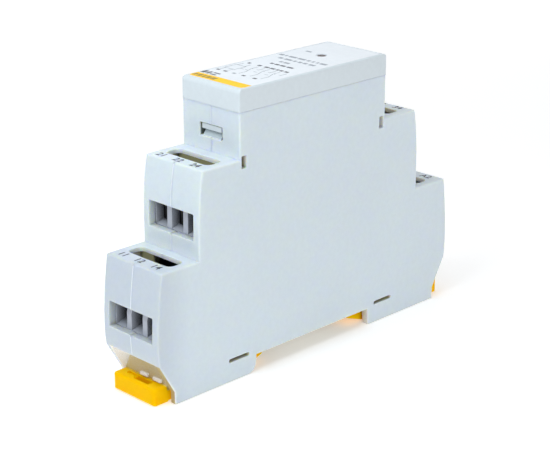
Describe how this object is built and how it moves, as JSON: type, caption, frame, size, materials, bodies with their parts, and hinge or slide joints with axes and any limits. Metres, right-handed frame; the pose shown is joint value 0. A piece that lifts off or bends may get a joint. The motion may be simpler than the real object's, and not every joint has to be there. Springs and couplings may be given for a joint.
{
  "type": "DIN rail relay module",
  "caption": "Slim one-module stepped DIN rail relay with screw terminals on four tiers, a clip-on front cap with status light and two sliding rail clips.",
  "frame": {"origin": "middle of the underside, on the plane of the two feet", "axes": "+Z from the rail towards the label, Y along the 91.3 mm length, X across the 17.5 mm module width"},
  "size_m": [0.0176, 0.0914, 0.0638],
  "materials": {
    "housing_grey": "fine moulded texture",
    "cap_grey": "fine moulded texture",
    "label_white": "printed film",
    "red_lens": "tinted clear",
    "clip_yellow": "moulded",
    "clear_plastic": "clear",
    "terminal_plastic": "moulded",
    "zinc_steel": "zinc plated",
    "tinned_brass": "stamped",
    "board_green": "solder mask",
    "black_plastic": "moulded",
    "capacitor_sleeve": "shrunk sleeve",
    "resistor_body": "lacquered",
    "relay_iron": "annealed and plated",
    "spring_copper": "rolled",
    "bobbin_plastic": "moulded",
    "copper_wire": "enamelled"
  },
  "bodies": {
    "housing": {"right_shell": "housing_grey", "left_shell": "housing_grey", "front_cap": "cap_grey", "label": "label_white", "light_pipe": "red_lens", "status_led": "red_lens", "terminal_block_front_lower": "terminal_plastic", "terminal_block_front_upper": "terminal_plastic", "terminal_block_rear_upper": "terminal_plastic", "terminal_block_rear_lower": "terminal_plastic", "terminal_tails": "tinned_brass", "relay_contacts": "tinned_brass", "lower_board": "board_green", "upper_board": "board_green", "board_header": "black_plastic", "diodes": "black_plastic", "relay_bases": "black_plastic", "relay_case_1": "black_plastic", "relay_case_2": "black_plastic", "relay_case_3": "black_plastic", "capacitor": "capacitor_sleeve", "resistors": "resistor_body", "relay_frames": "relay_iron", "relay_bobbins": "bobbin_plastic", "relay_windings": "copper_wire"},
    "front_clip": {"front_clip": "clip_yellow", "front_clip_guard": "clear_plastic"},
    "rear_clip": {"rear_clip": "clip_yellow", "rear_clip_guard": "clear_plastic"},
    "screw_11": {"screw_11": "zinc_steel"},
    "cage_11": {"cage_11": "zinc_steel"},
    "screw_12": {"screw_12": "zinc_steel"},
    "cage_12": {"cage_12": "zinc_steel"},
    "screw_14": {"screw_14": "zinc_steel"},
    "cage_14": {"cage_14": "zinc_steel"},
    "screw_21": {"screw_21": "zinc_steel"},
    "cage_21": {"cage_21": "zinc_steel"},
    "screw_22": {"screw_22": "zinc_steel"},
    "cage_22": {"cage_22": "zinc_steel"},
    "screw_24": {"screw_24": "zinc_steel"},
    "cage_24": {"cage_24": "zinc_steel"},
    "screw_31": {"screw_31": "zinc_steel"},
    "cage_31": {"cage_31": "zinc_steel"},
    "screw_32": {"screw_32": "zinc_steel"},
    "cage_32": {"cage_32": "zinc_steel"},
    "screw_34": {"screw_34": "zinc_steel"},
    "cage_34": {"cage_34": "zinc_steel"},
    "screw_a1": {"screw_a1": "zinc_steel"},
    "cage_a1": {"cage_a1": "zinc_steel"},
    "screw_spare": {"screw_spare": "zinc_steel"},
    "cage_spare": {"cage_spare": "zinc_steel"},
    "screw_a2": {"screw_a2": "zinc_steel"},
    "cage_a2": {"cage_a2": "zinc_steel"},
    "armature_1": {"armature_1": "relay_iron", "contact_blade_1": "spring_copper"},
    "armature_2": {"armature_2": "relay_iron", "contact_blade_2": "spring_copper"},
    "armature_3": {"armature_3": "relay_iron", "contact_blade_3": "spring_copper"}
  },
  "joints": [
    {"name": "front_clip_slide", "type": "slide", "parent": "housing", "child": "front_clip", "axis": [0, -1, 0], "range_m": [0, 0.0042], "stiffness_N_per_m": 900, "springref_m": -0.003},
    {"name": "rear_clip_slide", "type": "slide", "parent": "housing", "child": "rear_clip", "axis": [0, 1, 0], "range_m": [0, 0.0042], "stiffness_N_per_m": 900, "springref_m": -0.003},
    {"name": "screw_11_turn", "type": "hinge", "parent": "housing", "child": "screw_11", "pos_m": [-0.005, -0.0384, 0.0242], "axis": [0, 0, -1], "range_deg": [0, 2160]},
    {"name": "cage_11_lift", "type": "slide", "parent": "housing", "child": "cage_11", "axis": [0, 0, 1], "range_m": [0, 0.003]},
    {"name": "screw_12_turn", "type": "hinge", "parent": "housing", "child": "screw_12", "pos_m": [0, -0.0384, 0.0242], "axis": [0, 0, -1], "range_deg": [0, 2160]},
    {"name": "cage_12_lift", "type": "slide", "parent": "housing", "child": "cage_12", "axis": [0, 0, 1], "range_m": [0, 0.003]},
    {"name": "screw_14_turn", "type": "hinge", "parent": "housing", "child": "screw_14", "pos_m": [0.005, -0.0384, 0.0242], "axis": [0, 0, -1], "range_deg": [0, 2160]},
    {"name": "cage_14_lift", "type": "slide", "parent": "housing", "child": "cage_14", "axis": [0, 0, 1], "range_m": [0, 0.003]},
    {"name": "screw_21_turn", "type": "hinge", "parent": "housing", "child": "screw_21", "pos_m": [-0.005, -0.0274, 0.0436], "axis": [0, 0, -1], "range_deg": [0, 2160]},
    {"name": "cage_21_lift", "type": "slide", "parent": "housing", "child": "cage_21", "axis": [0, 0, 1], "range_m": [0, 0.003]},
    {"name": "screw_22_turn", "type": "hinge", "parent": "housing", "child": "screw_22", "pos_m": [0, -0.0274, 0.0436], "axis": [0, 0, -1], "range_deg": [0, 2160]},
    {"name": "cage_22_lift", "type": "slide", "parent": "housing", "child": "cage_22", "axis": [0, 0, 1], "range_m": [0, 0.003]},
    {"name": "screw_24_turn", "type": "hinge", "parent": "housing", "child": "screw_24", "pos_m": [0.005, -0.0274, 0.0436], "axis": [0, 0, -1], "range_deg": [0, 2160]},
    {"name": "cage_24_lift", "type": "slide", "parent": "housing", "child": "cage_24", "axis": [0, 0, 1], "range_m": [0, 0.003]},
    {"name": "screw_31_turn", "type": "hinge", "parent": "housing", "child": "screw_31", "pos_m": [-0.005, 0.0274, 0.0436], "axis": [0, 0, -1], "range_deg": [0, 2160]},
    {"name": "cage_31_lift", "type": "slide", "parent": "housing", "child": "cage_31", "axis": [0, 0, 1], "range_m": [0, 0.003]},
    {"name": "screw_32_turn", "type": "hinge", "parent": "housing", "child": "screw_32", "pos_m": [0, 0.0274, 0.0436], "axis": [0, 0, -1], "range_deg": [0, 2160]},
    {"name": "cage_32_lift", "type": "slide", "parent": "housing", "child": "cage_32", "axis": [0, 0, 1], "range_m": [0, 0.003]},
    {"name": "screw_34_turn", "type": "hinge", "parent": "housing", "child": "screw_34", "pos_m": [0.005, 0.0274, 0.0436], "axis": [0, 0, -1], "range_deg": [0, 2160]},
    {"name": "cage_34_lift", "type": "slide", "parent": "housing", "child": "cage_34", "axis": [0, 0, 1], "range_m": [0, 0.003]},
    {"name": "screw_a1_turn", "type": "hinge", "parent": "housing", "child": "screw_a1", "pos_m": [-0.005, 0.0384, 0.0242], "axis": [0, 0, -1], "range_deg": [0, 2160]},
    {"name": "cage_a1_lift", "type": "slide", "parent": "housing", "child": "cage_a1", "axis": [0, 0, 1], "range_m": [0, 0.003]},
    {"name": "screw_spare_turn", "type": "hinge", "parent": "housing", "child": "screw_spare", "pos_m": [0, 0.0384, 0.0242], "axis": [0, 0, -1], "range_deg": [0, 2160]},
    {"name": "cage_spare_lift", "type": "slide", "parent": "housing", "child": "cage_spare", "axis": [0, 0, 1], "range_m": [0, 0.003]},
    {"name": "screw_a2_turn", "type": "hinge", "parent": "housing", "child": "screw_a2", "pos_m": [0.005, 0.0384, 0.0242], "axis": [0, 0, -1], "range_deg": [0, 2160]},
    {"name": "cage_a2_lift", "type": "slide", "parent": "housing", "child": "cage_a2", "axis": [0, 0, 1], "range_m": [0, 0.003]},
    {"name": "armature_1_swing", "type": "hinge", "parent": "housing", "child": "armature_1", "pos_m": [0, -0.0094, 0.0236], "axis": [-1, 0, 0], "range_deg": [0, 3.5], "stiffness_Nm_per_rad": 0.02, "springref_deg": -5.73},
    {"name": "armature_2_swing", "type": "hinge", "parent": "housing", "child": "armature_2", "pos_m": [0, 0.024, 0.0236], "axis": [-1, 0, 0], "range_deg": [0, 3.5], "stiffness_Nm_per_rad": 0.02, "springref_deg": -5.73},
    {"name": "armature_3_swing", "type": "hinge", "parent": "housing", "child": "armature_3", "pos_m": [0, 0.0007, 0.043], "axis": [-1, 0, 0], "range_deg": [0, 3.5], "stiffness_Nm_per_rad": 0.02, "springref_deg": -5.73}
  ],
  "couplings": [
    {"joint": "screw_11_turn", "follows": "cage_11_lift", "rad_per_m": 12566},
    {"joint": "screw_12_turn", "follows": "cage_12_lift", "rad_per_m": 12566},
    {"joint": "screw_14_turn", "follows": "cage_14_lift", "rad_per_m": 12566},
    {"joint": "screw_21_turn", "follows": "cage_21_lift", "rad_per_m": 12566},
    {"joint": "screw_22_turn", "follows": "cage_22_lift", "rad_per_m": 12566},
    {"joint": "screw_24_turn", "follows": "cage_24_lift", "rad_per_m": 12566},
    {"joint": "screw_31_turn", "follows": "cage_31_lift", "rad_per_m": 12566},
    {"joint": "screw_32_turn", "follows": "cage_32_lift", "rad_per_m": 12566},
    {"joint": "screw_34_turn", "follows": "cage_34_lift", "rad_per_m": 12566},
    {"joint": "screw_a1_turn", "follows": "cage_a1_lift", "rad_per_m": 12566},
    {"joint": "screw_spare_turn", "follows": "cage_spare_lift", "rad_per_m": 12566},
    {"joint": "screw_a2_turn", "follows": "cage_a2_lift", "rad_per_m": 12566}
  ]
}
